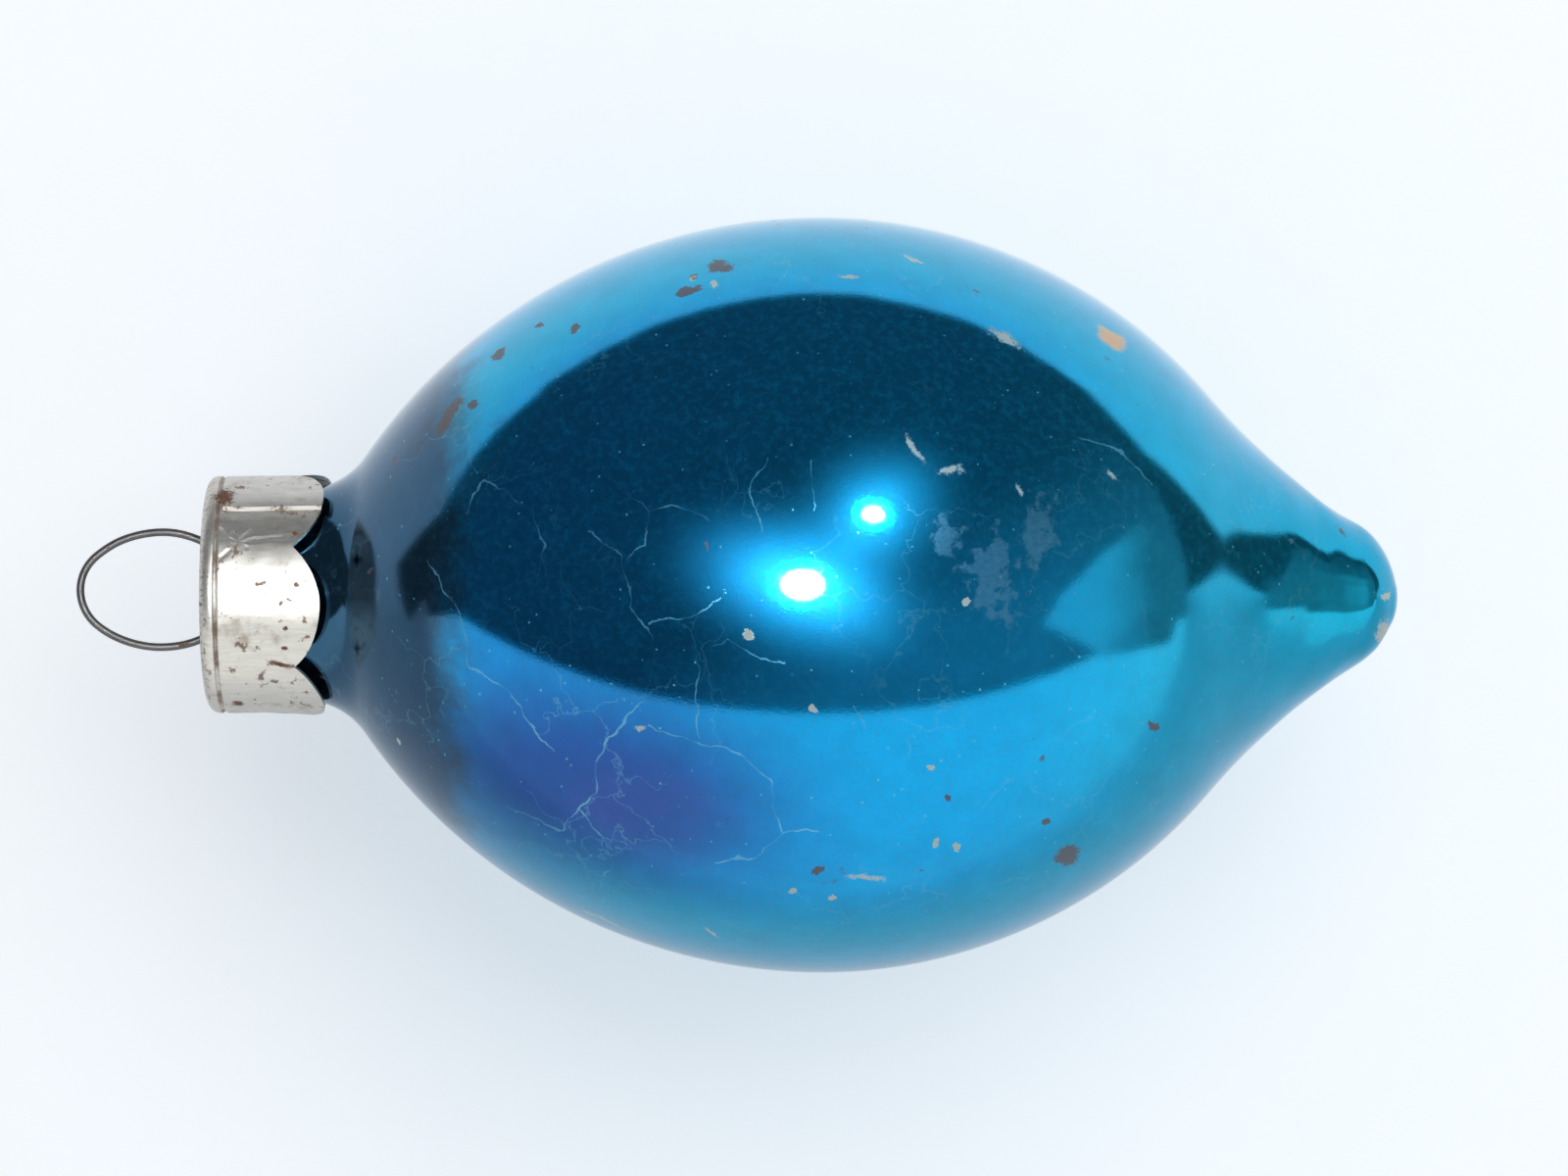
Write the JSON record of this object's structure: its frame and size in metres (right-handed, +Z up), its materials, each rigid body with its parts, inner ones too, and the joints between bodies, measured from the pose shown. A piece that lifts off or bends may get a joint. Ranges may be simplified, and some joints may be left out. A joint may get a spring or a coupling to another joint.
{
  "type": "glass ball ornament",
  "caption": "Lemon-shaped blown-glass tree ornament, silvered inside and lacquered blue, with a scalloped metal cap and a sprung wire hanger loop.",
  "frame": {"origin": "on the surface under the ornament's middle, as it lies on its side", "axes": "+X along the ornament's axis from the hanger loop to the nose, +Z up, +Y sideways in the plane of the hanger loop"},
  "size_m": [0.1002, 0.0574, 0.0574],
  "materials": {
    "clear_glass": "gloss",
    "silvering": "polished",
    "blue_lacquer": "gloss",
    "tinplate": "satin",
    "hanger_steel": "satin"
  },
  "bodies": {
    "glass_body": {"glass_shell": "clear_glass", "silver_lining": "silvering", "lacquer_coat": "blue_lacquer"},
    "cap_body": {"cap": "tinplate"},
    "hanger_body": {"hanger_wire": "hanger_steel"}
  },
  "joints": [
    {"name": "cap_pull", "type": "slide", "parent": "glass_body", "child": "cap_body", "axis": [-1, 0, 0], "range_m": [0, 0.024]},
    {"name": "hanger_slide", "type": "slide", "parent": "cap_body", "child": "hanger_body", "axis": [-1, 0, 0], "range_m": [-0.0004, 0.005]}
  ]
}
